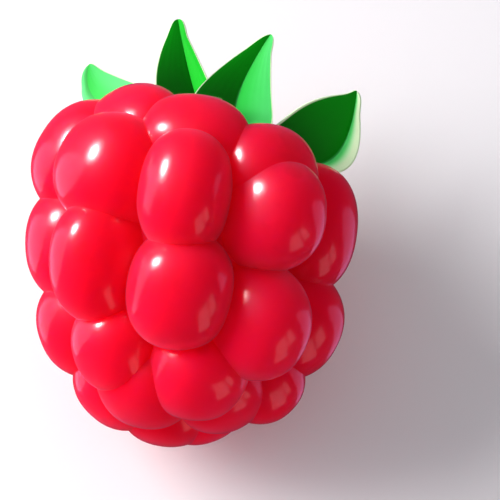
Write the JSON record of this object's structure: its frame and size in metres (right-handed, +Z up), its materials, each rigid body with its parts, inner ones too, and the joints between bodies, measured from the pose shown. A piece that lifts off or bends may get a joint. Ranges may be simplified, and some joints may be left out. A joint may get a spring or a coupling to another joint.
{
  "type": "raspberry",
  "caption": "Ripe red raspberry lying on its side, of round glossy drupelets grown together, with its green calyx of pointed sepals and a short stalk stub.",
  "frame": {"origin": "on the surface that the fruit lies on, under the middle of its box", "axes": "+Y from the fruit's tip towards its calyx, +X to the right as seen from above with the calyx away from the viewer, +Z up"},
  "size_m": [0.0222, 0.0298, 0.0224],
  "materials": {
    "flesh": "gloss",
    "sepal": "satin",
    "stalk": "matte"
  },
  "bodies": {
    "root": {"drupelets": "flesh", "calyx": "sepal", "stalk": "stalk"}
  },
  "joints": []
}
